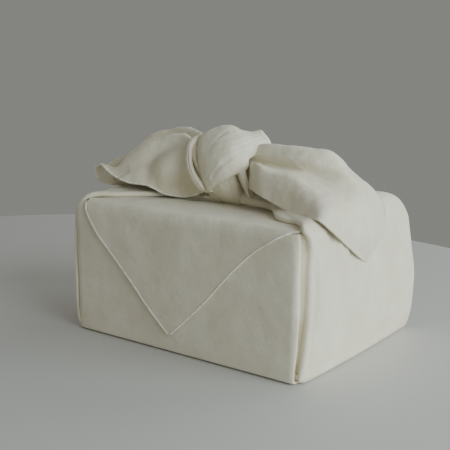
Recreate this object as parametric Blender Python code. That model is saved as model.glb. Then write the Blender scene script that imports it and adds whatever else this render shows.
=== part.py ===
"""Fabric gift wrap: one hemmed square of cloth folded round a box shape and tied on top.

The far corner of the square lies over the top and hangs down the front as a pointed flap. The left and
right corners are drawn up the sides, gathered, and tied in a knot whose two ends fan out as free tails.
Metres, +Z up. The origin is the middle of the flat bottom, the flap is on -Y and the tails point to -X
and +X. The section tables are in millimetres and are scaled by MM.
"""

import math

import bpy
import numpy as np

MM = 0.001

# The wrapped body, in metres.
WIDTH = 0.200
DEPTH = 0.1515
HEIGHT = 0.100
CORNER_RADIUS = 0.008
EDGE_RADIUS = 0.006
BOTTOM_RADIUS = 0.0018
LEAST_RADIUS = 0.0008
WALL = 0.0020
FRONT_PUFF = 0.0010
BACK_PUFF = 0.0040

# The cloth where it stands as a free sheet.
SHEET = 0.0016
FLAP_SHEET = 0.0022
FLAP_PROUD = 0.0003

# The gap behind each drawn-up side panel opens through these windows in the body's side walls.
WINDOW_HALF_DEPTH = 0.048
WINDOW_MARGIN = 0.010

CLOTH_COLOUR = (0.60, 0.585, 0.52, 1.0)
CLOTH_ROUGHNESS = 0.9

# The front flap's hems, where they lie on the front (x, z in mm), from the top edge to the point.
FLAP_LEFT_HEM = ((-92, 101), (-85, 90), (-75, 77), (-48, 52), (-24, 28), (-9, 14.5))
FLAP_RIGHT_HEM = ((101, 101), (86, 98), (67, 87), (48, 70), (22, 42), (-7, 14.5))
FLAP_START_BEHIND_EDGE = 0.011

# The sides drawn up and gathered, from under the bottom, up the wall and over the top edge to the knot.
# Columns: front edge, middle, back edge (x, y, z in mm).
RIGHT_SIDE = (
    ((93, -70, 1.2), (93, 0, 1.2), (93, 70, 1.2)),
    ((99.5, -72, 1.4), (101, 0, 1.4), (100, 74, 1.4)),
    ((101.5, -70, 9), (103, 0, 11), (103, 76, 11)),
    ((102.5, -67.4, 25), (104.5, 0, 27), (104.5, 77, 27)),
    ((103.2, -65, 47), (105, 0, 49), (105, 77, 49)),
    ((103.2, -64.6, 76), (104, 0, 78), (103.5, 71, 78)),
    ((102, -64.2, 93), (102.5, 0, 95), (102, 66, 94)),
    ((97, -68.5, 102.6), (95, 0, 107), (95, 58, 106)),
    ((83, -56, 102.6), (78, 0, 113), (80, 46, 109)),
    ((64, -50, 102.6), (54, -4, 116), (54, 28, 110)),
    ((42, -27.5, 102.6), (28, -8, 118), (28, 10, 112)),
    ((14, -22.5, 105), (8, -10, 118), (8, 2, 114)),
)
LEFT_SIDE = (
    ((-93, -70, 1.2), (-93, 0, 1.2), (-93, 70, 1.2)),
    ((-100, -73, 1.4), (-101, 0, 1.4), (-99.5, 74, 1.4)),
    ((-104, -74, 9), (-104.5, 0, 11), (-102.5, 75, 11)),
    ((-106, -73.5, 45), (-106, 0, 47), (-104, 74, 47)),
    ((-106, -73, 76), (-105.5, 0, 78), (-103.5, 70, 78)),
    ((-105.5, -71, 92), (-104.5, 0, 95), (-102, 66, 94)),
    ((-96, -61, 103.2), (-96, 0, 103.4), (-95, 58, 103)),
    ((-78, -38, 102.6), (-77, -2, 104.5), (-78, 44, 105)),
    ((-56, -19, 102.6), (-52, 2, 108), (-54, 28, 108)),
    ((-33, -14, 102.6), (-28, -4, 115), (-28, 12, 112)),
    ((-8, -12, 105), (-8, -8, 118), (-8, 4, 114)),
)
GATHER_START = 0.6
PLEATS = 4
PLEAT_DEPTH = 0.0022

# Free ends, from the knot to the point of the cloth.
# Columns: front hem, lower crest, hollow, upper face, ridge, back hem (x, y, z in mm).
RIGHT_TAIL = (
    ((20, -22, 116), (21, -22, 129), (13, -15, 133.5), (18.5, -17, 140.8), (16, -11, 143), (12, -2, 124)),
    ((40, -38, 115), (35, -33, 134), (28, -18, 132.5), (32, -19, 140.7), (34, -12, 146), (35, 6, 124)),
    (
        (54, -41, 111), (50, -36, 130), (41, -19, 131.5),
        (47.2, -19, 140.5), (50, -10, 145.5), (55, 12, 124),
    ),
    ((70, -44, 107), (67, -37, 128), (57, -18, 131), (63.1, -17, 138.9), (65, -5, 144.5), (72, 20, 121)),
    (
        (89, -50, 107), (83, -38.5, 122), (74, -15, 127.5),
        (79.5, -11, 135.5), (77, 0, 142.5), (87, 24, 116),
    ),
    ((100, -54, 106), (99, -41, 115), (92, -14, 122), (92, -4, 128), (87.5, 6, 129.5), (97, 28, 111)),
    (
        (105.5, -46, 98), (106, -31, 107), (104, -14, 113),
        (103, 0, 116), (100.5, 12, 117.5), (106, 21, 108),
    ),
    ((106, -30, 87), (108, -21, 92), (108, -8, 96), (108.3, 0, 98), (108, 8, 101), (108, 20, 96)),
    (
        (106, -15, 77.5), (106.5, -10, 79.5), (107, -4, 81),
        (107.3, 0, 82), (107.5, 5, 83), (107.5, 14, 82),
    ),
    (
        (105, -1.5, 69.5), (105, -1, 69.3), (105, -0.5, 69.1),
        (105, 0, 69), (105, 0.5, 69.1), (105, 1.5, 69.5),
    ),
)
# Columns: front hem, face, crest, valley, rim, back hem (x, y, z in mm).
LEFT_TAIL = (
    ((-8, -27, 112), (-4, -32, 124), (-12, -26, 140), (-15, -18, 140), (-16, -12, 144), (-12, -4, 122)),
    (
        (-24, -26, 106), (-18.5, -33.5, 127), (-30.5, -26.5, 148),
        (-34.5, -15, 136), (-37.5, -9.5, 151), (-32, 6, 118),
    ),
    (
        (-36.5, -26, 103.5), (-33, -34.5, 125), (-40.5, -27, 148.5),
        (-46.5, -15, 131.5), (-50.5, -8.5, 152), (-48, 12, 108),
    ),
    (
        (-47, -34, 105.5), (-45, -38, 127), (-55, -28.5, 146),
        (-61, -18, 127), (-65, -9.5, 149), (-64.5, 10, 104.5),
    ),
    (
        (-59, -41, 111.5), (-62.5, -39, 126.5), (-70.5, -31, 142.5),
        (-75.5, -21, 121.5), (-79.5, -13.5, 144.5), (-80, 3, 104),
    ),
    (
        (-73, -44.5, 112.5), (-75, -41.5, 123.5), (-81, -34.5, 133.5),
        (-89, -25.5, 113.5), (-96, -18.5, 134.5), (-95, -6, 103.8),
    ),
    (
        (-86.5, -46, 116), (-87.5, -44, 119), (-91, -41, 121),
        (-103, -32.5, 107.5), (-108, -23, 130.5), (-106, -17, 103.8),
    ),
    (
        (-100.5, -45, 122.5), (-103, -43.5, 122.5), (-106.5, -41.5, 122.5),
        (-111, -35, 108), (-116, -29.5, 123), (-114, -25, 105),
    ),
    (
        (-110, -42, 121.5), (-112.5, -41.5, 119.5), (-114.5, -39.5, 116),
        (-116, -35.5, 109), (-118.5, -31.5, 112), (-118, -28.5, 108),
    ),
)

# The knot's middle in metres, and the direction from it towards the three-quarter front.
KNOT_CENTRE = (0.0, -0.018, 0.128)
KNOT_FACING_DEG = 36.9
KNOT_CORE_RADII = (0.023, 0.019, 0.0295)

# The wraps of the knot, each a band swept along its rows. Columns: right, up and out from the knot's
# middle, half width, half thickness (mm). Right and out are as seen from the three-quarter front.
KNOT_BANDS = {
    "upper_wrap": (
        (26, 19, 0, 6.5, 3),
        (21, 19, 9, 8, 5),
        (12, 17, 17, 11, 6),
        (2, 13, 22, 14, 7),
        (-7, 6, 22, 14, 7),
        (-13, -4, 17, 10, 6),
        (-16, -14, 8, 5, 4),
    ),
    "lower_wrap": (
        (-6, 2, 20, 11, 5),
        (-3, -9, 21, 12, 6),
        (3, -18, 17, 10, 6),
        (10, -24, 10, 7, 5),
        (16, -27, 2, 4, 3),
    ),
    "right_crescent": (
        (9, 6, 20, 3, 3),
        (11, -3, 21, 3.5, 4),
        (14, -13, 18, 3.5, 4),
        (18, -21, 12, 3, 4),
        (23, -27, 5, 2.5, 3),
    ),
    "left_outer_strand": (
        (-23.5, 26, -4, 2.4, 3),
        (-27.5, 17.5, -1, 2.4, 3),
        (-30, 9.5, 2, 2.6, 3.2),
        (-29.2, 1, 5.5, 3, 3.4),
        (-26, -6, 8, 3.2, 3.4),
        (-20.6, -12.3, 9.5, 3.5, 3.4),
        (-14, -16.5, 9, 3, 3),
    ),
    "left_shaded_wrap": (
        (-19.5, 25, -7, 5, 3.5),
        (-22, 17, -3, 5.2, 4.5),
        (-22.5, 8, 1, 5.2, 5),
        (-21, 0, 5, 4.4, 5),
        (-17.5, -9, 8, 3.2, 4),
    ),
    "back_wrap": (
        (12, 20, 4, 9, 5),
        (4, 18, -12, 12, 6),
        (-6, 8, -20, 13, 6),
        (-10, -6, -21, 12, 6),
        (-8, -20, -14, 8, 5),
    ),
}
BAND_SIDES = 8


def smooth_rows(rows, count):
    """Samples count rows of the smooth curve that runs through the given rows."""
    rows = np.asarray(rows, float)
    padded = np.concatenate([2 * rows[:1] - rows[1:2], rows, 2 * rows[-1:] - rows[-2:-1]])
    place = np.linspace(0, len(rows) - 1, count)
    start = np.minimum(place.astype(int), len(rows) - 2)
    t = (place - start).reshape((-1,) + (1,) * (rows.ndim - 1))
    before, here, there, after = (padded[start + k] for k in range(4))
    bend = 2 * before - 5 * here + 4 * there - after
    twist = 3 * here - before - 3 * there + after
    return 0.5 * (2 * here + (there - before) * t + bend * t**2 + twist * t**3)


def smooth_sheet(sections, along, across):
    """A grid of points in metres on the smooth sheet through a section table in millimetres."""
    grid = smooth_rows(sections, along)
    grid = smooth_rows(grid.transpose(1, 0, 2), across)
    return grid.transpose(1, 0, 2) * MM


def grid_faces(rows, columns, wrap=False):
    last = columns if wrap else columns - 1
    faces = []
    for row in range(rows - 1):
        for column in range(last):
            after = (column + 1) % columns
            here = row * columns
            faces.append((here + column, here + after, here + columns + after, here + columns + column))
    return faces


def new_object(name, points, faces, material):
    mesh = bpy.data.meshes.new(name)
    mesh.from_pydata(np.asarray(points).reshape(-1, 3).tolist(), [], faces)
    mesh.update()
    mesh.shade_smooth()
    mesh.materials.append(material)
    obj = bpy.data.objects.new(name, mesh)
    bpy.context.scene.collection.objects.link(obj)
    return obj


def hide_helper(obj):
    obj.hide_render = True
    obj.display_type = "WIRE"


def sheet_object(name, grid, thickness, material):
    """A closed sheet of the given thickness on a grid of points."""
    rows, columns = grid.shape[:2]
    obj = new_object(name, grid, grid_faces(rows, columns), material)
    solidify = obj.modifiers.new("thickness", "SOLIDIFY")
    solidify.thickness = thickness
    solidify.offset = 0
    hide_helper(obj)
    return obj


def join_to(body, helper, operation):
    """Adds the helper to the body, or cuts it away."""
    helper.modifiers.new("triangles", "TRIANGULATE")
    boolean = body.modifiers.new(helper.name, "BOOLEAN")
    boolean.operation = operation
    boolean.solver = "EXACT"
    boolean.object = helper


def cloth_material():
    material = bpy.data.materials.new("off_white_cloth")
    material.use_nodes = True
    shader = material.node_tree.nodes["Principled BSDF"]
    shader.inputs["Base Color"].default_value = CLOTH_COLOUR
    shader.inputs["Roughness"].default_value = CLOTH_ROUGHNESS
    shader.inputs["Metallic"].default_value = 0.0
    return material


def plan_outline(inset):
    """The body's rounded-rectangle plan, inset from its full size, as (x, y) points anticlockwise."""
    half_x = WIDTH / 2 - inset
    half_y = DEPTH / 2 - inset
    radius = max(CORNER_RADIUS - inset, LEAST_RADIUS)
    corner_steps = 3
    centres = [
        (sign_x * (half_x - radius), sign_y * (half_y - radius))
        for sign_x, sign_y in ((1, 1), (-1, 1), (-1, -1), (1, -1))
    ]
    points = []
    for corner, centre in enumerate(centres):
        turn = math.pi / 2 * corner
        for step in range(corner_steps + 1):
            angle = turn + math.pi / 2 * step / corner_steps
            points.append((centre[0] + radius * math.cos(angle), centre[1] + radius * math.sin(angle)))
        begin = np.array(points[-1])
        following = np.array(centres[(corner + 1) % 4])
        angle = turn + math.pi / 2
        end = following + radius * np.array((math.cos(angle), math.sin(angle)))
        steps = 6 if corner % 2 == 0 else 4
        for step in range(1, steps):
            points.append(tuple(begin + (end - begin) * step / steps))
    return np.array(points)


def puff(x, z):
    """How far the cloth stands out from the flat front or back plane, from 0 to 1."""
    across = math.cos(math.pi / 2 * min(abs(x) / (WIDTH / 2), 1.0))
    upward = math.sin(math.pi * min(max(z / HEIGHT, 0.0), 1.0))
    return across * upward


def body_rings(margin):
    """(inset, z) of each ring of the body, from its flat bottom to its flat top."""
    arc_steps = 3
    top = max(EDGE_RADIUS - margin, LEAST_RADIUS)
    bottom = max(BOTTOM_RADIUS - margin, LEAST_RADIUS)
    low = margin
    high = HEIGHT - margin
    rings = []
    for step in range(arc_steps + 1):
        angle = math.pi / 2 * step / arc_steps
        rings.append((margin + bottom * (1 - math.sin(angle)), low + bottom * (1 - math.cos(angle))))
    for share in (0.25, 0.5, 0.75):
        rings.append((margin, low + bottom + (high - low - top - bottom) * share))
    for step in range(arc_steps + 1):
        angle = math.pi / 2 * step / arc_steps
        rings.append((margin + top * (1 - math.cos(angle)), high - top * (1 - math.sin(angle))))
    return rings


def body_form(name, margin, material):
    """The rounded box form of the wrapped body, smaller all round by margin."""
    rings = body_rings(margin)
    points = []
    for inset, z in rings:
        for x, y in plan_outline(inset):
            depth = FRONT_PUFF if y < 0 else BACK_PUFF
            y += math.copysign(depth, y) * puff(x, z) * (2 * abs(y) / DEPTH) ** 4
            points.append((x, y, z))
    columns = len(points) // len(rings)
    faces = grid_faces(len(rings), columns, wrap=True)
    faces.append(tuple(reversed(range(columns))))
    faces.append(tuple(range(len(points) - columns, len(points))))
    return new_object(name, points, faces, material)


def build_body(material):
    """The hollow form that the cloth makes round its load, open at both side walls."""
    body = body_form("wrap_cloth", 0.0, material)
    body.modifiers.new("triangles", "TRIANGULATE")
    inside = body_form("inside_cutter", WALL, material)
    hide_helper(inside)
    join_to(body, inside, "DIFFERENCE")

    half_z = HEIGHT / 2 - WINDOW_MARGIN
    corners = [
        (x * WIDTH, y * WINDOW_HALF_DEPTH, HEIGHT / 2 + z * half_z)
        for x in (-1, 1)
        for y in (-1, 1)
        for z in (-1, 1)
    ]
    faces = [(0, 1, 3, 2), (4, 6, 7, 5), (0, 4, 5, 1), (2, 3, 7, 6), (0, 2, 6, 4), (1, 5, 7, 3)]
    window = new_object("side_window_cutter", corners, faces, material)
    hide_helper(window)
    join_to(body, window, "DIFFERENCE")
    return body


def flap_path(along):
    """(y, z) on the outside of the body's front half, from the top plate over the edge and down."""
    arc = EDGE_RADIUS * math.pi / 2
    top = FLAP_START_BEHIND_EDGE - EDGE_RADIUS
    front = -DEPTH / 2
    if along < top:
        return front + EDGE_RADIUS + top - along, HEIGHT
    if along < top + arc:
        angle = (along - top) / EDGE_RADIUS
        y = front + EDGE_RADIUS * (1 - math.sin(angle))
        return y, HEIGHT - EDGE_RADIUS * (1 - math.cos(angle))
    return front, HEIGHT - EDGE_RADIUS - (along - top - arc)


def build_flap(material):
    """The far corner of the square, hanging down the front as a right-angled point."""
    rows, columns = 14, 9
    left = smooth_rows(FLAP_LEFT_HEM, 40) * MM
    right = smooth_rows(FLAP_RIGHT_HEM, 40) * MM
    length = FLAP_START_BEHIND_EDGE - EDGE_RADIUS + EDGE_RADIUS * math.pi / 2
    length += HEIGHT - EDGE_RADIUS - left[-1][1]
    grid = np.empty((rows, columns, 3))
    for row in range(rows):
        y, z = flap_path(length * row / (rows - 1))
        start = np.interp(-z, -left[:, 1], left[:, 0])
        end = np.interp(-z, -right[:, 1], right[:, 0])
        for column in range(columns):
            x = start + (end - start) * column / (columns - 1)
            x = min(max(x, -WIDTH / 2 + CORNER_RADIUS / 2), WIDTH / 2 - CORNER_RADIUS / 2)
            out = FLAP_PROUD + FRONT_PUFF * puff(x, z)
            grid[row, column] = (x, y - out, z)
    grid[0, :, 2] -= WALL / 2
    return sheet_object("flap_fold", grid, FLAP_SHEET, material)


def build_side(name, sections, material):
    """One corner of the square, drawn up its side and gathered into the knot."""
    rows, columns = 21, 17
    grid = smooth_sheet(sections, rows, columns)
    for row in range(rows):
        gathered = max(0.0, row / (rows - 1) - GATHER_START) / (1 - GATHER_START)
        depth = PLEAT_DEPTH * math.sin(math.pi * min(gathered, 1.0)) ** 0.7
        for column in range(columns):
            wave = math.sin(math.pi * column / (columns - 1))
            grid[row, column, 2] += depth * wave * math.cos(2 * math.pi * PLEATS * column / (columns - 1))
    return sheet_object(name, grid, SHEET, material)


def build_tail(name, sections, material):
    grid = smooth_sheet(sections, 2 * len(sections) + 1, 3 * len(sections[0]) - 2)
    return sheet_object(name, grid, SHEET, material)


def knot_axes():
    """Unit vectors to the right, up and out, as the knot is seen from the three-quarter front."""
    turn = math.radians(KNOT_FACING_DEG)
    right = np.array((math.cos(turn), math.sin(turn), 0.0))
    out = np.array((math.sin(turn), -math.cos(turn), 0.0))
    return right, np.array((0.0, 0.0, 1.0)), out


def build_band(name, rows, material):
    """One wrap of the knot: an oval tube that follows its rows and closes at both ends."""
    right, up, out = knot_axes()
    table = smooth_rows(rows, 2 * len(rows) - 1)
    path = np.array([right * r + up * u + out * o for r, u, o in table[:, :3]])
    direction = np.gradient(path, axis=0)
    direction /= np.linalg.norm(direction, axis=1)[:, None]
    points = []
    for place, ahead, (half_width, half_thickness) in zip(path, direction, table[:, 3:]):
        outward = place - ahead * np.dot(place, ahead)
        outward /= np.linalg.norm(outward)
        sideways = np.cross(ahead, outward)
        for side in range(BAND_SIDES):
            angle = 2 * math.pi * side / BAND_SIDES
            ring = sideways * half_width * math.cos(angle) + outward * half_thickness * math.sin(angle)
            points.append(np.array(KNOT_CENTRE) + (place + ring) * MM)
    faces = grid_faces(len(table), BAND_SIDES, wrap=True)
    faces = [tuple(reversed(face)) for face in faces]
    faces.append(tuple(range(BAND_SIDES)))
    faces.append(tuple(reversed(range(len(points) - BAND_SIDES, len(points)))))
    obj = new_object(name, points, faces, material)
    hide_helper(obj)
    return obj


def build_knot_core(material):
    """The tight middle of the knot, which the wraps lie on and which stands on the top."""
    rows, columns = 9, 16
    right, up, out = knot_axes()
    points = []
    for row in range(rows):
        lift = math.pi * ((row + 0.5) / rows - 0.5)
        for column in range(columns):
            turn = 2 * math.pi * column / columns
            offset = right * KNOT_CORE_RADII[0] * math.cos(turn) * math.cos(lift)
            offset = offset - out * KNOT_CORE_RADII[1] * math.sin(turn) * math.cos(lift)
            offset = offset + up * KNOT_CORE_RADII[2] * math.sin(lift)
            points.append(np.array(KNOT_CENTRE) + offset)
    faces = grid_faces(rows, columns, wrap=True)
    faces.append(tuple(reversed(range(columns))))
    faces.append(tuple(range(len(points) - columns, len(points))))
    obj = new_object("knot_core", points, faces, material)
    hide_helper(obj)
    return obj


def main():
    for obj in list(bpy.data.objects):
        bpy.data.objects.remove(obj, do_unlink=True)
    material = cloth_material()
    body = build_body(material)
    helpers = [
        build_flap(material),
        build_side("right_side", RIGHT_SIDE, material),
        build_side("left_side", LEFT_SIDE, material),
        build_knot_core(material),
        build_tail("right_tail", RIGHT_TAIL, material),
        build_tail("left_tail", LEFT_TAIL, material),
    ]
    helpers += [build_band(name, rows, material) for name, rows in KNOT_BANDS.items()]
    for helper in helpers:
        join_to(body, helper, "UNION")


main()
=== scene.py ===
"""Looks of the fabric gift wrap: fine cloth with its folds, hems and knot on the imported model.

The sheets follow section tables in millimetres, as in the model's source, and MM scales them. Folds that
face the camera are listed as lines in pixels of the 450 by 450 picture, and each one presses or lifts the
part of its sheet that the camera sees there.
"""

import math

import bpy
import numpy as np
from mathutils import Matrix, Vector, noise

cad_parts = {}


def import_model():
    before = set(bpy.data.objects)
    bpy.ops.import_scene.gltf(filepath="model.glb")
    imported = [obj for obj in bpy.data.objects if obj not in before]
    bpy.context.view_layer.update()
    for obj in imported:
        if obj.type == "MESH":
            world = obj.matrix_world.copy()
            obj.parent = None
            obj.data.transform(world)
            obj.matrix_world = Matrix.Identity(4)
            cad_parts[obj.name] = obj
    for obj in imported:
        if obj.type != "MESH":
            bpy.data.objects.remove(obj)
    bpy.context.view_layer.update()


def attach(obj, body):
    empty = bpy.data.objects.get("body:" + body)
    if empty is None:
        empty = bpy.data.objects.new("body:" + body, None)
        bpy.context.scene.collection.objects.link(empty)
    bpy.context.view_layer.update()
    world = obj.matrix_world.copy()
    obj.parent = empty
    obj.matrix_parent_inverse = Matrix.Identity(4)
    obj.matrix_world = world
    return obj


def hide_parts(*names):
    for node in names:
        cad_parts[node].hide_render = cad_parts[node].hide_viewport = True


MM = 0.001

# The camera at the photograph's viewing angle.
CAMERA_PLACE = (0.3885, -0.5398, 0.2258)
CAMERA_AZIMUTH_DEG = 36.89
CAMERA_ELEVATION_DEG = 12.25
LENS_MM = 72.0
SENSOR_MM = 36.0
FRAME_PX = 450

# The wrapped body, in metres.
WIDTH = 0.200
DEPTH = 0.1515
HEIGHT = 0.100
CORNER_RADIUS = 0.008
EDGE_RADIUS = 0.006
BOTTOM_RADIUS = 0.0010
BOTTOM_GAP = 0.0010
BOTTOM_INSET = 0.0070
FRONT_PUFF = 0.0010
BACK_PUFF = 0.0040
TOP_RINGS = 8
TOP_RING_STEP = 0.0075
FRONT = -DEPTH / 2
EDGE_ARC = EDGE_RADIUS * math.pi / 2

# How fast the outward puff fades behind the front and back planes, and how much wider the left half is.
PUFF_POWER = 4
LEFT_SPREAD = 1.043

# The body's grid: steps in an edge's arc, up the wall and round a corner, then metres along a side, at
# the smallest corner and at the lip of the bottom.
ARC_STEPS = 5
WALL_STEPS = 60
CORNER_STEPS = 8
SIDE_STEP = 0.002
SMALLEST_RADIUS = 0.0008
BOTTOM_LIP = 0.0005

# Soft dents of the body: size and height in mm, and the shift of their noise. They set in above the bottom.
BODY_DENTS = ((26, 0.44, (0, 0, 0)), (11, 0.24, (4, 2, 9)))
DENT_START = 2.5
DENT_RISE = 12

# Where the body draws in beside the drawn-up sides: the front line (z, y in mm), the rest in metres.
FRONT_SLIT = ((0, -71.2), (14, -70.4), (28, -69.4), (45, -68.8), (70, -69.0), (100, -68.6))
BACK_SLIT = 0.0690
SLIT_HALF_WIDTH = 0.0024
SLIT_DEPTH = 0.0105
BACK_SLIT_DEPTH = 0.0025
SLIT_FADE = 0.004

# Cloth and hem sizes, in metres.
CLOTH = 0.0009
WRAP_THICKNESS = 0.0016
FLAP_PROUD = 0.0013
FLAP_TOP_BACK = 0.030
FOLD_RADIUS = 0.0014
RIGHT_WALL_FOLD = 0.0019
LEFT_WALL_FOLD = 0.0012
WALL_FOLD_START = 0.002
WALL_FOLD_RISE = 0.008
WALL_FADE = 0.012
EDGE_ROUND = 0.0022
EDGE_REACH = 0.013
FOLD_RETURN = 0.009
LOWEST = CLOTH / 2 + 0.0001
HEM_HALF_WIDTH = 0.0008
HEM_HALF_THICKNESS = 0.0009
HEM_STEP = 0.0008
HEM_WAVER = 0.00018

# Steps round a folded edge, back behind it and in its smoothing, and points round a hem.
CURL_STEPS = 9
RETURN_STEPS = 4
EDGE_BLUR = 5
HEM_SIDES = 10

# How often a hem wavers and swells along a metre, how much it swells, and how its ends taper.
HEM_WAVER_RATE = 260
HEM_SWELL_RATE = 420
HEM_SWELL = 0.16
HEM_END = 0.35
HEM_TAPER_STEPS = 3

# Rows and columns of the sheets.
FLAP_GRID = (180, 131)
SIDE_GRID = (190, 150)
TAIL_GRID = (150, 130)
WRAP_GRID = (90, 80)
CORE_GRID = (48, 72)
FLAP_EDGE_STEPS = 200
LINE_STEPS = 24

# Uneven dents of the sheets: height and size in mm, and for the sides how far they are drawn out.
FLAP_CRUMPLE = (0.35, 22)
SIDE_CRUMPLES = ((0.9, 20, 3.5), (0.3, 6, 4.0))
TAIL_CRUMPLES = ((0.6, 17), (0.22, 6))
WRAP_CRUMPLE = (0.45, 9)
CRUMPLE_START = 0.0024
SMALL_DENT_SHARE = 0.45
SMALL_DENT_RATE = 2.3
SEED_SHIFT = (3.1, 5.7, 7.3)

# How a pressed fold fades: at its ends, and where its sheet turns away from the camera.
FOLD_END = 0.12
FOLD_END_POWER = 0.6
FACING_START = 0.1
FACING_REACH = 0.25

# The flap, in metres: its gap to the body's sides, where it spreads behind the edge, where and how far it
# sinks into the top, how it leaves the corners, and where its hem starts and turns over them.
FLAP_SIDE_GAP = 0.001
FLAP_SPREAD = 0.006
FLAP_SINK_START = 0.030
FLAP_SINK_REACH = 0.040
FLAP_SINK = 0.0015
FLAP_CORNER_REACH = 0.008
FLAP_CORNER_LIMIT = 0.97
FLAP_HEM_START = 0.0035
FLAP_HEM_CORNER = 0.093
FLAP_HEM_TOP = 0.096
FLAP_HEM_LEAN = (0.35, 0.6)

# The front flap's hems, where they lie on the front (x, z in mm), from the top edge to the point.
FLAP_LEFT_HEM = ((-92, 101), (-85, 90), (-75, 77), (-48, 52), (-24, 28), (-9, 14.5))
FLAP_RIGHT_HEM = ((101, 101), (86, 98), (67, 87), (48, 70), (22, 42), (-7, 14.5))

# The sides drawn up and gathered, from under the bottom, up the wall and over the top edge to the knot.
# Columns: front edge, middle, back edge (x, y, z in mm).
RIGHT_SIDE = (
    ((93, -70, 1.2), (93, 0, 1.2), (93, 70, 1.2)),
    ((99.5, -72, 1.4), (101, 0, 1.4), (100, 74, 1.4)),
    ((101.5, -70, 9), (103, 0, 11), (103, 76, 11)),
    ((102.5, -67.4, 25), (104.5, 0, 27), (104.5, 77, 27)),
    ((103.2, -65, 47), (105, 0, 49), (105, 77, 49)),
    ((103.2, -64.6, 76), (104, 0, 78), (103.5, 71, 78)),
    ((102, -64.2, 93), (102.5, 0, 95), (102, 66, 94)),
    ((97, -68.5, 104.2), (95, 0, 107), (95, 58, 106)),
    ((83, -56, 105), (78, 0, 113), (80, 46, 109)),
    ((64, -50, 105), (54, -4, 116), (54, 28, 110)),
    ((42, -28.5, 105), (28, -8, 118), (28, 10, 112)),
    ((14, -22.5, 105), (8, -10, 118), (8, 2, 114)),
)
LEFT_SIDE = (
    ((-93, -70, 1.2), (-93, 0, 1.2), (-93, 70, 1.2)),
    ((-101, -73, 1.4), (-102, 0, 1.4), (-99.5, 74, 1.4)),
    ((-105, -74, 9), (-105.5, 0, 11), (-102.5, 75, 11)),
    ((-107, -73.5, 45), (-107, 0, 47), (-104, 74, 47)),
    ((-107, -73, 76), (-106.5, 0, 78), (-103.5, 70, 78)),
    ((-105.5, -71, 92), (-104.5, 0, 95), (-102, 66, 94)),
    ((-95, -65.5, 104.6), (-96, 0, 104.4), (-95, 58, 103.4)),
    ((-76, -50.5, 105), (-77, -2, 105.5), (-78, 44, 105)),
    ((-55, -32, 105), (-52, 0, 108), (-54, 28, 108)),
    ((-31, -14.5, 105), (-28, -4, 115), (-28, 12, 112)),
    ((-8, -12, 105), (-8, -8, 118), (-8, 4, 114)),
)

# The pleats of the gathers: where they start, how many, how deep in metres, and how their lines bend.
GATHER_START = 0.30
PLEATS = 4
PLEAT_DEPTH = 0.0020
PLEAT_POWER = 0.8
PLEAT_BENDS = ((0.03, 7, 3), (0.02, 17, 0))
FINE_PLEATS = 9
FINE_PLEAT_SHARE = 0.35
FINE_PLEAT_LEAN = 5

# Free ends, from the knot to the point of the cloth.
# Columns: front hem, lower crest, hollow, upper face, ridge, back hem (x, y, z in mm).
RIGHT_TAIL = (
    ((20, -22, 116), (21, -22, 129), (13, -15, 133.5), (18.5, -17, 140.8), (16, -11, 143), (12, -2, 124)),
    ((40, -38, 115), (35, -33, 134), (28, -18, 132.5), (32, -19, 140.7), (34, -12, 146), (35, 6, 124)),
    ((54, -41, 111), (50, -36, 130), (41, -19, 131.5), (47.2, -19, 140.5), (50, -10, 145.5), (55, 12, 124)),
    ((70, -44, 107), (67, -37, 128), (57, -18, 131), (63.1, -17, 138.9), (65, -5, 144.5), (72, 20, 121)),
    ((89, -50, 107), (83, -38.5, 122), (74, -15, 127.5), (79.5, -11, 135.5), (77, 0, 142.5), (87, 24, 116)),
    ((100, -54, 106), (99, -41, 115), (92, -14, 122), (92, -4, 128), (87.5, 6, 129.5), (97, 28, 111)),
    ((105.5, -46, 98), (106, -31, 107), (104, -14, 113), (103, 0, 116), (100.5, 12, 117.5), (106, 21, 108)),
    ((106, -30, 87), (108, -21, 92), (108, -8, 96), (108.3, 0, 98), (108, 8, 101), (108, 20, 96)),
    ((106, -15, 77.5), (106.5, -10, 79.5), (107, -4, 81), (107.3, 0, 82), (107.5, 5, 83), (107.5, 14, 82)),
    (
        (105, -1.5, 69.5), (105, -1, 69.3), (105, -0.5, 69.1),
        (105, 0, 69), (105, 0.5, 69.1), (105, 1.5, 69.5),
    ),
)
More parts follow.
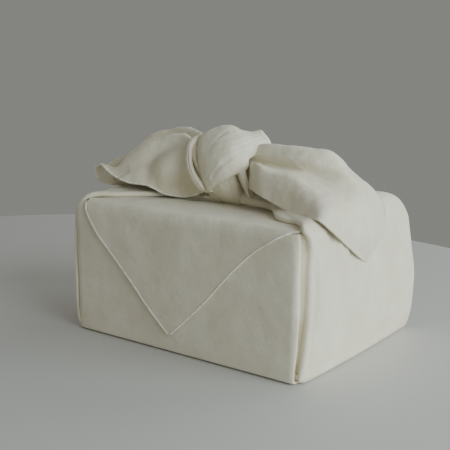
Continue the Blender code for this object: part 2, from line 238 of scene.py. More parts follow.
# Columns: front hem, face, crest, valley, rim, back hem (x, y, z in mm).
LEFT_TAIL = (
    ((-8, -27, 112), (-4, -32, 124), (-12, -26, 140), (-15, -18, 140), (-16, -12, 144), (-12, -4, 122)),
    (
        (-24, -26, 106), (-18.5, -33.5, 127), (-30.5, -26.5, 148),
        (-34.5, -15, 136), (-37.5, -9.5, 151), (-32, 6, 118),
    ),
    (
        (-36.5, -26, 103.5), (-33, -34.5, 125), (-40.5, -27, 148.5),
        (-46.5, -15, 131.5), (-50.5, -8.5, 152), (-48, 12, 108),
    ),
    (
        (-47, -34, 105.5), (-45, -38, 127), (-55, -28.5, 146),
        (-61, -18, 127), (-65, -9.5, 149), (-64.5, 10, 104.5),
    ),
    (
        (-59, -41, 111.5), (-62.5, -39, 126.5), (-70.5, -31, 142.5),
        (-75.5, -21, 121.5), (-79.5, -13.5, 144.5), (-80, 3, 104),
    ),
    (
        (-73, -44.5, 112.5), (-75, -41.5, 123.5), (-81, -34.5, 133.5),
        (-89, -25.5, 112.5), (-96, -18.5, 130.5), (-95, -6, 103.8),
    ),
    (
        (-86.5, -46, 116), (-87.5, -44, 119), (-91, -41, 121),
        (-103, -32.5, 107.5), (-108, -23, 125), (-106, -17, 103.8),
    ),
    (
        (-100.5, -45, 122.5), (-103, -43.5, 122.5), (-106.5, -41.5, 122.5),
        (-110, -35, 108), (-114, -29.5, 119.5), (-112.5, -25, 105),
    ),
    (
        (-110, -42, 121.5), (-112.5, -41.5, 119.5), (-114.5, -39.5, 116),
        (-114.5, -35.5, 109), (-116.5, -31.5, 112), (-116, -28.5, 108),
    ),
)

# The rows of the tails' grids from which the first and the last column have a hem.
RIGHT_HEM_ROWS = (66, 50)
LEFT_HEM_ROWS = (20, 14)

# The knot's middle in metres, and the direction from it towards the three-quarter front.
KNOT_CENTRE = (0.0, -0.018, 0.128)
KNOT_FACING_DEG = 36.9
KNOT_CORE_RADII = (0.021, 0.016, 0.028)
KNOT_CORE_BACK = 0.0065
CORE_CREASE = 0.12
CORE_CREASE_RATE = 2.6
CORE_CREASE_STRETCH = 0.8

# The knot's large upper wrap, from its folded right end down to the lower left, in mm right, up and out
# from the knot's middle. Columns: back, upper back, crest, upper face, face, lower edge, tucked edge.
UPPER_WRAP = (
    ((19, 19, -2), (19, 20, -1), (20, 22, 1), (22, 21, 3), (23, 18, 4), (24, 16, 3), (22, 15, 1)),
    ((20, 17, -3), (21, 22, -1), (23, 26.4, 2), (26, 23.6, 5), (28.4, 20.4, 6), (30, 16.8, 5), (26, 15, 1)),
    (
        (14, 14, -8), (15, 22, -5), (16.4, 25.3, 2), (18.5, 22.5, 9),
        (20, 18, 13), (20.7, 12.4, 12), (17, 11, 6),
    ),
    ((6, 16, -12), (7, 24, -7), (8.5, 26.8, 2), (11, 24, 12), (13, 17.5, 19), (14.2, 8.7, 19), (11, 8, 12)),
    ((-2, 16, -14), (0, 25, -8), (1.8, 29, 1), (4, 25, 13), (8, 15, 22), (13.2, 2.7, 21.5), (10, 1, 15)),
    ((-8, 14, -14), (-5, 24, -8), (-3.9, 29.3, 0), (-3, 24, 13), (1, 13, 23.5), (7.2, 1, 23.5), (4, -2, 16)),
    (
        (-13, 10, -14), (-14, 21, -8), (-13.5, 26, 0), (-12, 20, 12),
        (-7.5, 8.5, 22), (-2.5, -4.2, 23), (-3, -6, 15),
    ),
    (
        (-17, 6, -12), (-19.5, 15, -7), (-20, 21, 0), (-19.5, 13.5, 9.5),
        (-14.5, 3.5, 17.5), (-8.5, -7.9, 20), (-8, -10, 12),
    ),
    (
        (-18, 0, -8), (-21, 6, -3), (-21.5, 10, 3), (-20.5, 3.5, 9.5),
        (-17, -4, 14.5), (-12, -12, 16.5), (-11, -13, 9),
    ),
    (
        (-15, -8, -2), (-17, -5, 1), (-18, -4, 5), (-18, -7.5, 9),
        (-16.5, -11, 12), (-14.9, -15.1, 12), (-12, -15, 6),
    ),
    (
        (-12, -12, 0), (-13, -11, 1), (-14, -11, 3), (-14.5, -13, 6),
        (-14, -15, 8), (-12, -17, 7), (-10, -16, 3),
    ),
)
# The shaded wrap below it, which fans down to the top. Columns: left, left face, face, right face, right.
LOWER_WRAP = (
    ((-10, 4, 6.5), (-8, 2, 12.5), (-3, 2, 15.5), (4, 4, 14.5), (7, 4, 10.5)),
    ((-13, -6, 4.5), (-10, -6, 10.5), (-4, -4, 15.5), (3, -2, 16), (6.5, -1.5, 11.5)),
    ((-14, -13, 3), (-11, -13, 8.5), (-4, -11, 13.5), (4, -8, 15), (8, -7.5, 11)),
    ((-13, -17.5, 0), (-9, -18.5, 5.5), (-2, -18, 10), (6, -16, 12.5), (10, -14.5, 9.5)),
    ((-9, -21.5, -4), (-5, -23, 2), (1.5, -23.5, 6), (8, -23.5, 8.5), (12, -22, 7)),
    ((-4, -24, -9), (-1, -25.5, -3), (4, -27, 1), (10, -28.5, 4), (13.5, -28.5, 3)),
    ((-3, -32, -9), (0, -32.5, -3), (5, -33, 1), (10.5, -33.5, 4), (14, -33.5, 3)),
)

# The knot's narrow wraps, each a pleated band swept along its rows. Columns: right, up and out from the
# knot's middle, half width, half thickness (mm).
KNOT_BANDS = {
    "rolled_corner": (
        (24.5, 20, 1.5, 2.8, 2.8),
        (21, 18.5, 1.5, 4.2, 4.2),
        (15, 16, 1, 7, 6),
        (8, 13, 1, 9, 8),
    ),
    "right_crescent": (
        (9, 6, 18, 3.2, 3),
        (9.3, -1, 20.5, 2.9, 3.5),
        (12, -9, 20, 2.6, 3.5),
        (14.6, -16, 17.5, 2.3, 3.4),
        (18.5, -22, 12, 2.1, 3),
        (21, -25.5, 10.5, 1.7, 2.2),
    ),
    "right_strand": (
        (15.5, 2, 12, 1.8, 3),
        (18, -8, 12, 1.5, 2.5),
        (20, -17, 10, 1.5, 2.2),
        (22.5, -21.5, 9.5, 1.4, 1.9),
    ),
    "left_outer_strand": (
        (-10, 18, -12, 1.6, 1.6),
        (-20.5, 21, -8, 2.6, 1.8),
        (-26.6, 17, -1, 3.2, 2.2),
        (-28.6, 9.5, 2, 3.4, 2.2),
        (-28, 1, 5, 3.7, 2.4),
        (-25.2, -6, 7.5, 4.0, 2.5),
        (-20.3, -12, 9.5, 3.6, 2.5),
        (-15, -16.5, 6.5, 1.8, 1.8),
    ),
    "left_shaded_wrap": (
        (-21, 21, -7, 3.6, 3),
        (-23.5, 16, -4, 3.8, 3.4),
        (-24.6, 10, -1, 3.8, 3.4),
        (-23.2, 4.5, 2, 3.4, 3.2),
        (-20, -1, 4.5, 3.0, 3),
        (-17, -7, 6, 2.4, 3),
    ),
    "back_upper_wrap": (
        (12, 20, 4, 9, 5),
        (4, 18, -12, 12, 6),
        (-6, 8, -20, 13, 6),
        (-10, -6, -21, 12, 6),
        (-8, -20, -14, 8, 5),
    ),
    "back_lower_wrap": (
        (6, 8, -18, 9, 5),
        (10, -2, -20, 10, 5),
        (10, -14, -17, 9, 5),
        (4, -25, -10, 7, 4),
    ),
}
BAND_SIDES = 40
BAND_STEPS = 14
BAND_SWELL = 0.32
BAND_PLEAT_RATE = 1.9
BAND_PLEAT_STEP = 0.03
BAND_SEED_SHIFT = 5.7

# Folds that face the camera: line in picture pixels, half width in pixels, and height in mm (negative
# is a trough). One with a fourth value is a step: the cloth to the right of the line stands higher than
# the cloth to its left, and both even out over that many pixels.
FOLDS = {
    "right_tail": (
        (((263, 154.6), (275, 154.2), (287, 154.0), (298, 153.2)), 1.3, -0.7),
        (((255, 162), (268, 164), (282, 166), (294, 167)), 3.0, -0.8),
        (((358, 178), (348.7, 181), (334.2, 180), (319.7, 176.4), (305, 170.5), (291, 167)), 1.8, 1.7, 22),
        (((308, 172), (320, 183), (334, 196), (349, 211)), 3.2, 1.2, 34),
        (((346, 204), (358, 210), (371, 209)), 4.5, -0.8),
        (((352, 190), (364, 196), (375, 207), (378, 226)), 3.5, 0.6),
        (((282, 190), (300, 198), (322, 214), (342, 234)), 6.0, 0.5),
    ),
    "left_tail": (
        (((132, 172), (148, 164), (166, 154), (180, 146), (192, 138)), 4.5, 3.6, 30),
        (((186, 140), (170, 144), (157, 152), (150, 164), (146, 178)), 6.0, -2.6),
        (((150, 143), (140, 154), (132, 166)), 6.0, 1.2),
        (((186, 154), (172, 160), (164, 172), (162, 184)), 6.5, 1.2),
        (((118, 166), (128, 160), (138, 150)), 2.5, 0.4),
        (((186, 166), (186, 180), (184, 194)), 3.5, 0.9),
    ),
    "right_side": (
        (((317, 244), (316, 280), (313, 330), (309, 372)), 2.6, -0.7),
        (((322, 232), (326, 262), (325, 300), (322, 340)), 3.5, 0.7),
        (((341, 262), (342, 292), (340, 330)), 4.0, -0.8),
        (((385, 236), (388, 268), (386, 306)), 5.0, -0.5),
        (((330, 262), (333, 300), (331, 352)), 5.0, 0.8),
        (((352, 276), (354, 310), (350, 348)), 6.0, -0.9),
        (((372, 262), (375, 290), (372, 326)), 5.0, 0.6),
        (((388, 216), (389, 221), (390, 227)), 1.5, -0.8),
        (((393, 206), (396, 222), (398, 246)), 3.0, 0.5),
        (((259, 203), (268, 212), (275, 221), (292, 224)), 2.0, 0.5),
        (((262, 196), (275, 208), (288, 216), (300, 226)), 2.6, -0.9),
        (((310, 236), (318, 262), (321, 300)), 3.0, 0.4),
    ),
    "left_side": (
        (((77.5, 203), (77.5, 250), (78, 318)), 1.2, -0.5),
    ),
    "body": (
        (((299, 239), (301.5, 244), (302, 250)), 1.8, 1.1),
        (((304, 241), (305.5, 246), (306, 252)), 1.3, -1.6),
        (((84, 292), (86, 308), (92, 326)), 5.0, 0.5),
        (((200, 352), (214, 330), (230, 318)), 7.0, 0.35),
        (((250, 300), (262, 325), (268, 352)), 6.0, -0.35),
        (((110, 300), (126, 316), (146, 330)), 6.0, -0.3),
        (((296, 262), (293, 310), (290, 360)), 2.5, 0.25),
    ),
    "flap": (
        (((120, 214), (136, 232), (150, 256)), 7.0, -0.4),
        (((175, 215), (182, 240), (178, 266)), 8.0, 0.4),
        (((215, 218), (220, 236), (212, 258)), 7.0, -0.35),
        (((250, 214), (262, 226), (278, 232)), 5.0, 0.3),
    ),
    "upper_wrap": (
        (((262, 139), (247, 144), (231, 151), (213, 158)), 1.5, -0.55),
        (((247, 137), (232, 142), (214, 147)), 1.3, 0.4),
        (((258, 146), (241, 151), (228, 161), (213, 172)), 1.4, -0.6),
        (((250, 152), (237, 157), (224, 168), (215, 179)), 1.1, 0.4),
        (((236, 152), (225, 160), (216, 171)), 1.0, -0.4),
        (((228, 131), (219, 138), (209, 150)), 1.3, -0.45),
        (((240, 132), (228, 136), (216, 141)), 1.0, 0.35),
        (((261, 133), (266, 138), (269, 143)), 1.1, 0.5),
        (((218, 165), (212, 173), (209, 181)), 1.2, 0.4),
    ),
    "lower_wrap": (
        (((226, 172), (229, 184), (234, 198)), 2.2, -0.5),
        (((219, 177), (221, 186), (225, 194)), 2.4, 0.3),
        (((232, 169), (236, 182), (241, 200)), 2.4, 0.35),
    ),
}

# The flat size in metres of each piece's share of the one square of cloth, how it is held, and what it
# rests on.
SHEETS = {
    "wrap_body": ((0.36, 0.36), "folded", None),
    "wrap_flap": ((0.20, 0.145), "folded", "wrap_body"),
    "right_side": ((0.15, 0.19), "gathered", "wrap_body"),
    "left_side": ((0.15, 0.19), "gathered", "wrap_body"),
    "knot": ((0.115, 0.115), "gathered", "wrap_flap"),
    "right_tail": ((0.085, 0.125), "draped", "right_side"),
    "left_tail": ((0.09, 0.14), "draped", "left_side"),
}

# Colours, linear.
CLOTH_COLOUR = (0.86, 0.81, 0.65, 1.0)
CLOTH_SHADE = (0.765, 0.705, 0.535, 1.0)
# The hem colours are lighter than the cloth: painted highlight, for the bright line that light draws along a
# rolled hem.
HEM_PAINTED_HIGHLIGHT = (0.95, 0.92, 0.81, 1.0)
HEM_PAINTED_HIGHLIGHT_DARKER = (0.84, 0.80, 0.68, 1.0)
TABLE_COLOUR = (0.57, 0.56, 0.53, 1.0)
WALL_COLOUR = (0.235, 0.238, 0.222, 1.0)
CLOTH_SURFACE = {
    "Roughness": 0.88,
    "Sheen Weight": 0.18,
    "Sheen Roughness": 0.5,
    "Specular IOR Level": 0.25,
}
THREAD_SCALES = ((260.0, 5200.0, 1.0), (5200.0, 260.0, 1.0))

# The round table, in metres.
TABLE_CENTRE = (-0.092, -0.156)
TABLE_RADIUS = 0.522
TABLE_THICKNESS = 0.03
TABLE_EDGE = 0.012

# The lights: place and size in metres, power in watts, and colour.
LIGHTS = {
    "window": ((1.60, -0.04, 0.62), (1.8, 1.0), 36.5, (0.84, 0.945, 1.0)),
    "far_window": ((0.55, 1.35, 0.85), (1.2, 1.0), 8.0, (0.90, 0.965, 1.0)),
    "left_wall": ((-1.54, 0.0, 0.77), (1.4, 1.2), 2.2, (1.0, 0.98, 0.93)),
}
LIGHT_AIM = (0.0, 0.0, 0.05)


def smooth_rows(rows, count):
    """Samples count rows of the smooth curve that runs through the given rows."""
    rows = np.asarray(rows, float)
    padded = np.concatenate([2 * rows[:1] - rows[1:2], rows, 2 * rows[-1:] - rows[-2:-1]])
    place = np.linspace(0, len(rows) - 1, count)
    start = np.minimum(place.astype(int), len(rows) - 2)
    t = (place - start).reshape((-1,) + (1,) * (rows.ndim - 1))
    before, here, there, after = (padded[start + k] for k in range(4))
    bend = 2 * before - 5 * here + 4 * there - after
    twist = 3 * here - before - 3 * there + after
    return 0.5 * (2 * here + (there - before) * t + bend * t**2 + twist * t**3)


def smooth_sheet(sections, along, across):
    """A grid of points in metres on the smooth sheet through a section table in millimetres."""
    grid = smooth_rows(sections, along)
    grid = smooth_rows(grid.transpose(1, 0, 2), across)
    return grid.transpose(1, 0, 2) * MM


def lengths(grid, axis):
    """Mean lengths along an axis of a grid, from its start to each of its lines."""
    steps = np.linalg.norm(np.diff(grid, axis=axis), axis=2).mean(axis=1 - axis)
    return np.concatenate([[0], np.cumsum(steps)])


def even_rows(grid):
    """The same sheet with its rows and columns spaced evenly along their own length."""
    for axis in (0, 1):
        length = lengths(grid, axis)
        wanted = np.linspace(0, length[-1], len(length))
        place = np.interp(wanted, length, np.arange(len(length)))
        low = np.minimum(place.astype(int), len(length) - 2)
        share = (place - low).reshape((-1, 1, 1) if axis == 0 else (1, -1, 1))
        grid = np.take(grid, low, axis) * (1 - share) + np.take(grid, low + 1, axis) * share
    return grid


def grid_normals(grid):
    """Unit normals of a grid of points."""
    normal = np.cross(np.gradient(grid, axis=0), np.gradient(grid, axis=1))
    length = np.linalg.norm(normal, axis=2, keepdims=True)
    return normal / np.maximum(length, 1e-12)


def view_axes(azimuth_deg, elevation_deg):
    """Unit vectors to the right, up and back towards the viewer."""
    azimuth = math.radians(azimuth_deg)
    elevation = math.radians(elevation_deg)
    right = np.array((math.cos(azimuth), math.sin(azimuth), 0.0))
    back = np.array((math.sin(azimuth), -math.cos(azimuth), 0.0)) * math.cos(elevation)
    back[2] = math.sin(elevation)
    return right, np.cross(back, right), back


def to_pixels(points):
    """Where points show in the picture, in pixels."""
    right, up, back = view_axes(CAMERA_AZIMUTH_DEG, CAMERA_ELEVATION_DEG)
    offset = points - np.array(CAMERA_PLACE)
    scale = FRAME_PX * LENS_MM / SENSOR_MM / -(offset @ back)
    return np.stack([FRAME_PX / 2 + scale * (offset @ right), FRAME_PX / 2 - scale * (offset @ up)], -1)


def line_distance(pixels, line):
    """Distance in pixels to a smooth line, the place along it from 0 to 1, and the side: 1 is its right."""
    path = smooth_rows(line, LINE_STEPS)
    nearest = np.full(pixels.shape[:-1], np.inf)
    along = np.zeros(pixels.shape[:-1])
    side = np.ones(pixels.shape[:-1])
    for index in range(len(path) - 1):
        start, step = path[index], path[index + 1] - path[index]
        offset = pixels - start
        share = np.clip((offset @ step) / (step @ step), 0, 1)
        gap = np.linalg.norm(offset - share[..., None] * step, axis=-1)
        closer = gap < nearest
        nearest = np.where(closer, gap, nearest)
        along = np.where(closer, (index + share) / (len(path) - 1), along)
        turn = np.sign(step[0] * offset[..., 1] - step[1] * offset[..., 0])
        side = np.where(closer, turn, side)
    return nearest, along, side


def press_folds(grid, folds):
    """Lifts or presses a sheet along fold lines of the picture, where it faces the camera."""
    normal = grid_normals(grid)
    to_camera = np.array(CAMERA_PLACE) - grid
    to_camera /= np.linalg.norm(to_camera, axis=2, keepdims=True)
    facing = (normal * to_camera).sum(axis=2)
    outward = normal * np.sign(facing)[..., None]
    pixels = to_pixels(grid)
    height = np.zeros(grid.shape[:2])
    for line, half_width, rise, *reach in folds:
        gap, along, side = line_distance(pixels, line)
        fade = np.sin(math.pi * (FOLD_END + (1 - 2 * FOLD_END) * along)) ** FOLD_END_POWER
        if reach:
            step = 0.5 * np.tanh(side * gap / half_width) * np.exp(-((gap / reach[0]) ** 2))
            height += rise * fade * step
        else:
            height += rise * fade * np.exp(-((gap / half_width) ** 2))
    height *= np.clip((np.abs(facing) - FACING_START) / FACING_REACH, 0, 1)
    return grid + outward * (height * MM)[..., None]


def blur_rows(values, reach):
    """Unit vectors along an edge, averaged with their neighbours so that the edge turns softly."""
    padded = np.concatenate([values[:1].repeat(reach, 0), values, values[-1:].repeat(reach, 0)])
    mean = sum(padded[k : k + len(values)] for k in range(2 * reach + 1))
    return mean / np.maximum(np.linalg.norm(mean, axis=1, keepdims=True), 1e-9)


def crumple(grid, depth_mm, size_mm, stretch=0.0, seed=0):
    """Soft uneven dents over a sheet. With a stretch they are drawn out along the rows' direction."""
    rows, columns = grid.shape[:2]
    if stretch:
        run = lengths(grid, 0)[-1] / MM / size_mm / stretch
        span = lengths(grid, 1)[-1] / MM / size_mm
        along = np.linspace(0, run, rows)[:, None].repeat(columns, 1)
        across = np.linspace(0, span, columns)[None, :].repeat(rows, 0)
        places = np.stack([along, across, np.zeros_like(along)], -1)
    else:
        places = grid / MM / size_mm
    height = np.empty((rows, columns))
    shift = Vector(SEED_SHIFT) * seed
    for row in range(rows):
        for column in range(columns):
            place = Vector(places[row, column]) + shift
            small = noise.noise(place * SMALL_DENT_RATE)
            height[row, column] = noise.noise(place) + SMALL_DENT_SHARE * small
    return grid + grid_normals(grid) * (height * depth_mm * MM)[..., None]


def grid_faces(rows, columns, wrap=False):
    """The four-sided faces of a grid, closed round its columns if wrap is set."""
    last = columns if wrap else columns - 1
    faces = []
    for row in range(rows - 1):
        for column in range(last):
            after = (column + 1) % columns
            here = row * columns
            faces.append((here + column, here + after, here + columns + after, here + columns + column))
    return faces


def tube_faces(rows, columns):
    """The faces of a grid that closes round its columns, with its two ends capped."""
    faces = grid_faces(rows, columns, wrap=True)
    faces.append(tuple(reversed(range(columns))))
    faces.append(tuple(range(rows * columns - columns, rows * columns)))
    return faces


def turn_weave(across, along):
    """Flat coordinates turned by 45 degrees, as the square of cloth lies corner to corner."""
    turn = math.sqrt(0.5)
    return np.stack([(across - along) * turn, (across + along) * turn], -1)


def lay_out(grid):
    """Flat coordinates of a grid in metres, turned to the weave."""
    return turn_weave(*np.meshgrid(lengths(grid, 1), lengths(grid, 0)))


def new_object(name, points, faces, material, thickness=0.0, offset=0.0, flat=None):
    """A smooth-shaded object with the flat coordinates that its weave follows.

    Its thickness goes half to each side, or all of it inwards with an offset of -1."""
    mesh = bpy.data.meshes.new(name)
    mesh.from_pydata(points.reshape(-1, 3).tolist(), [], faces)
    mesh.update()
    mesh.shade_smooth()
    mesh.materials.append(material)
    layer = mesh.uv_layers.new(name="weave")
    places = (lay_out(points) if flat is None else flat).reshape(-1, 2)
    vertices = np.empty(len(mesh.loops), dtype=np.int32)
    mesh.loops.foreach_get("vertex_index", vertices)
    layer.data.foreach_set("uv", places[vertices].astype(np.float32).ravel())
    obj = bpy.data.objects.new(name, mesh)
    bpy.context.scene.collection.objects.link(obj)
    if thickness:
        solidify = obj.modifiers.new("thickness", "SOLIDIFY")
        solidify.thickness = thickness
        solidify.offset = offset
    return obj


def join_objects(name, objects):
    """One object from several, with their modifiers applied."""
    graph = bpy.context.evaluated_depsgraph_get()
    for obj in objects:
        applied = bpy.data.meshes.new_from_object(obj.evaluated_get(graph), depsgraph=graph)
        obj.modifiers.clear()
        obj.data = applied
    with bpy.context.temp_override(active_object=objects[0], selected_editable_objects=objects):
        bpy.ops.object.join()
    objects[0].name = name
    return objects[0]


def add_node(tree, kind, values, **settings):
    """A shader node with its settings, then its input values."""
    node = tree.nodes.new("ShaderNode" + kind)
    for key, value in settings.items():
        setattr(node, key, value)
    for key, value in values.items():
        node.inputs[key].default_value = value
    return node


def link_nodes(tree, *links):
    """Joins nodes, each given as source, its output, target and its input."""
    for source, output, target, socket in links:
        tree.links.new(source.outputs[output], target.inputs[socket])


def cloth_material(name, light, shade, stitched=False):
    """Plain-woven cotton: a fine weave with slubs, small crinkles and faint mottling."""
    material = bpy.data.materials.new(name)
    material.use_nodes = True
    tree = material.node_tree
    shader = tree.nodes["Principled BSDF"]
    for key, value in CLOTH_SURFACE.items():
        shader.inputs[key].default_value = value

    flat = add_node(tree, "UVMap", {}, uv_map="weave")
    place = add_node(tree, "TexCoord", {})
    both = add_node(tree, "Math", {}, operation="ADD")
    for index, scale in enumerate(THREAD_SCALES):
        mapping = add_node(tree, "Mapping", {"Scale": scale})
        slub = add_node(tree, "TexNoise", {"Scale": 0.35, "Detail": 2.0})
        link_nodes(
            tree,
            (flat, "UV", mapping, "Vector"),
            (mapping, "Vector", slub, "Vector"),
            (slub, "Fac", both, index),
        )

    mottle = add_node(tree, "TexNoise", {"Scale": 38.0, "Detail": 5.0, "Roughness": 0.6})
    tone = add_node(tree, "MapRange", {"From Min": 0.32, "From Max": 0.68})
    thread_range = {"From Min": 0.7, "From Max": 1.3, "To Min": -0.25, "To Max": 0.25}
    weave_tone = add_node(tree, "MapRange", thread_range)
    total = add_node(tree, "Math", {}, operation="ADD", use_clamp=True)
    mix = add_node(tree, "Mix", {"A": shade, "B": light}, data_type="RGBA")
    link_nodes(
        tree,
        (place, "Object", mottle, "Vector"),
        (mottle, "Fac", tone, "Value"),
        (both, "Value", weave_tone, "Value"),
        (tone, "Result", total, 0),
        (weave_tone, "Result", total, 1),
        (total, "Value", mix, "Factor"),
        (mix, "Result", shader, "Base Color"),
    )

    crinkle = add_node(tree, "TexNoise", {"Scale": 85.0, "Detail": 4.0, "Roughness": 0.55})
    crinkle_bump = add_node(tree, "Bump", {"Strength": 0.75, "Distance": 0.0011})
    weave_bump = add_node(tree, "Bump", {"Strength": 0.7, "Distance": 0.0003})
    link_nodes(
        tree,
        (place, "Object", crinkle, "Vector"),
        (crinkle, "Fac", crinkle_bump, "Height"),
        (both, "Value", weave_bump, "Height"),
        (crinkle_bump, "Normal", weave_bump, "Normal"),
        (weave_bump, "Normal", shader, "Normal"),
    )
    if stitched:
        stitches = add_node(
            tree, "TexWave", {"Scale": 95.0, "Distortion": 0.4}, bands_direction="DIAGONAL"
        )
        stitch_bump = add_node(tree, "Bump", {"Strength": 0.6, "Distance": 0.0004})
        link_nodes(
            tree,
            (flat, "UV", stitches, "Vector"),
            (stitches, "Fac", stitch_bump, "Height"),
            (weave_bump, "Normal", stitch_bump, "Normal"),
            (stitch_bump, "Normal", shader, "Normal"),
        )
    return material


def plan_outline(inset):
    """The body's rounded-rectangle plan, inset from its full size, as (x, y) points anticlockwise."""
    half_x = WIDTH / 2 - inset
    half_y = DEPTH / 2 - inset
    radius = max(CORNER_RADIUS - inset, SMALLEST_RADIUS)
    centres = [
        (sign_x * (half_x - radius), sign_y * (half_y - radius))
        for sign_x, sign_y in ((1, 1), (-1, 1), (-1, -1), (1, -1))
    ]
    points = []
    for corner, centre in enumerate(centres):
        turn = math.pi / 2 * corner
        for step in range(CORNER_STEPS + 1):
            angle = turn + math.pi / 2 * step / CORNER_STEPS
            points.append((centre[0] + radius * math.cos(angle), centre[1] + radius * math.sin(angle)))
        begin = np.array(points[-1])
        angle = turn + math.pi / 2
        end = np.array(centres[(corner + 1) % 4]) + radius * np.array((math.cos(angle), math.sin(angle)))
        steps = round((WIDTH if corner % 2 == 0 else DEPTH) / SIDE_STEP)
        for step in range(1, steps):
            points.append(tuple(begin + (end - begin) * step / steps))
    return np.array(points)


def puff(x, z):
    """How far the cloth stands out from the flat front or back plane, from 0 to 1."""
    across = math.cos(math.pi / 2 * min(abs(x) / (WIDTH / 2), 1.0))
    upward = math.sin(math.pi * min(max(z / HEIGHT, 0.0), 1.0))
    return across * upward


def corner_groove(x, y, z):
    """How far the body draws in behind the drawn-up sides' folded edges, in metres."""
    if abs(x) < WIDTH / 2 - CORNER_RADIUS:
        return 0.0
    depth = BACK_SLIT_DEPTH * math.exp(-(((y - BACK_SLIT) / SLIT_HALF_WIDTH / 2) ** 2))
    if x > 0:
        heights, places = zip(*FRONT_SLIT)
        front = np.interp(z / MM, heights, places) * MM
        depth += SLIT_DEPTH * math.exp(-(((y - front) / SLIT_HALF_WIDTH) ** 2))
    return depth * min(1.0, z / SLIT_FADE, max(0.0, HEIGHT - z) / SLIT_FADE)


def build_body(material):
    """The cloth under and round the load: bottom, four walls and top."""
    rings = [(BOTTOM_INSET, 0.0), (BOTTOM_INSET - BOTTOM_LIP, BOTTOM_GAP), (2 * BOTTOM_RADIUS, BOTTOM_GAP)]
    arc = [math.pi / 2 * step / ARC_STEPS for step in range(ARC_STEPS + 1)]
    low, high = BOTTOM_GAP + BOTTOM_RADIUS, HEIGHT - EDGE_RADIUS
    rings += [(BOTTOM_RADIUS * (1 - math.sin(turn)), low - BOTTOM_RADIUS * math.cos(turn)) for turn in arc]
    still_rows = len(rings)
    rings += [(0.0, low + (high - low) * step / WALL_STEPS) for step in range(1, WALL_STEPS)]
    rings += [(EDGE_RADIUS * (1 - math.cos(turn)), high + EDGE_RADIUS * math.sin(turn)) for turn in arc]
    rings += [(EDGE_RADIUS + TOP_RING_STEP * step, HEIGHT) for step in range(1, TOP_RINGS + 1)]
    grid = []
    for inset, z in rings:
        ring = []
        for x, y in plan_outline(inset):
            depth = FRONT_PUFF if y < 0 else BACK_PUFF
            y += math.copysign(depth, y) * puff(x, z) * (2 * abs(y) / DEPTH) ** PUFF_POWER
            x -= math.copysign(corner_groove(x, y, z), x)
            if x < 0:
                x *= LEFT_SPREAD
            ring.append((x, y, z))
        grid.append(ring)
    grid = np.array(grid)
    rows, columns = grid.shape[:2]
    normal = -grid_normals(grid)
    height = np.zeros((rows, columns))
    for row in range(still_rows, rows):
        for column in range(columns):
            place = Vector(grid[row, column] / MM)
            lift = min(1.0, max(0.0, place.z - DENT_START) / DENT_RISE)
            for size, depth, shift in BODY_DENTS:
                height[row, column] += lift * depth * noise.noise(place / size + Vector(shift))
    grid += normal * (height * MM)[..., None]
    in_view = (normal * (np.array(CAMERA_PLACE) - grid)).sum(axis=2) > 0
    in_view[:still_rows] = False
    grid = np.where(in_view[..., None], press_folds(grid, FOLDS["body"]), grid)
    return new_object("wrap_body", grid, tube_faces(rows, columns), material, CLOTH, -1.0)


def corner_drop(x):
    """How far the body's rounded corner lies behind its front plane, at a place along the front."""
    past = min(max(abs(x) - (WIDTH / 2 - CORNER_RADIUS), 0.0), CORNER_RADIUS * FLAP_CORNER_LIMIT)
    return CORNER_RADIUS - math.sqrt(CORNER_RADIUS**2 - past**2)


def flap_place(along):
    """(y, z, level) on the body's outside, from the back of the flap over the front edge and down.

    The level is 1 on the flat top and 0 on the front."""
    top = FLAP_TOP_BACK - FRONT - EDGE_RADIUS
    if along < top:
        return FLAP_TOP_BACK - along, HEIGHT, 1.0
    if along < top + EDGE_ARC:
        angle = (along - top) / EDGE_RADIUS
        y = FRONT + EDGE_RADIUS * (1 - math.sin(angle))
        return y, HEIGHT - EDGE_RADIUS * (1 - math.cos(angle)), math.cos(angle)
    return FRONT, HEIGHT - EDGE_RADIUS - (along - top - EDGE_ARC), 0.0


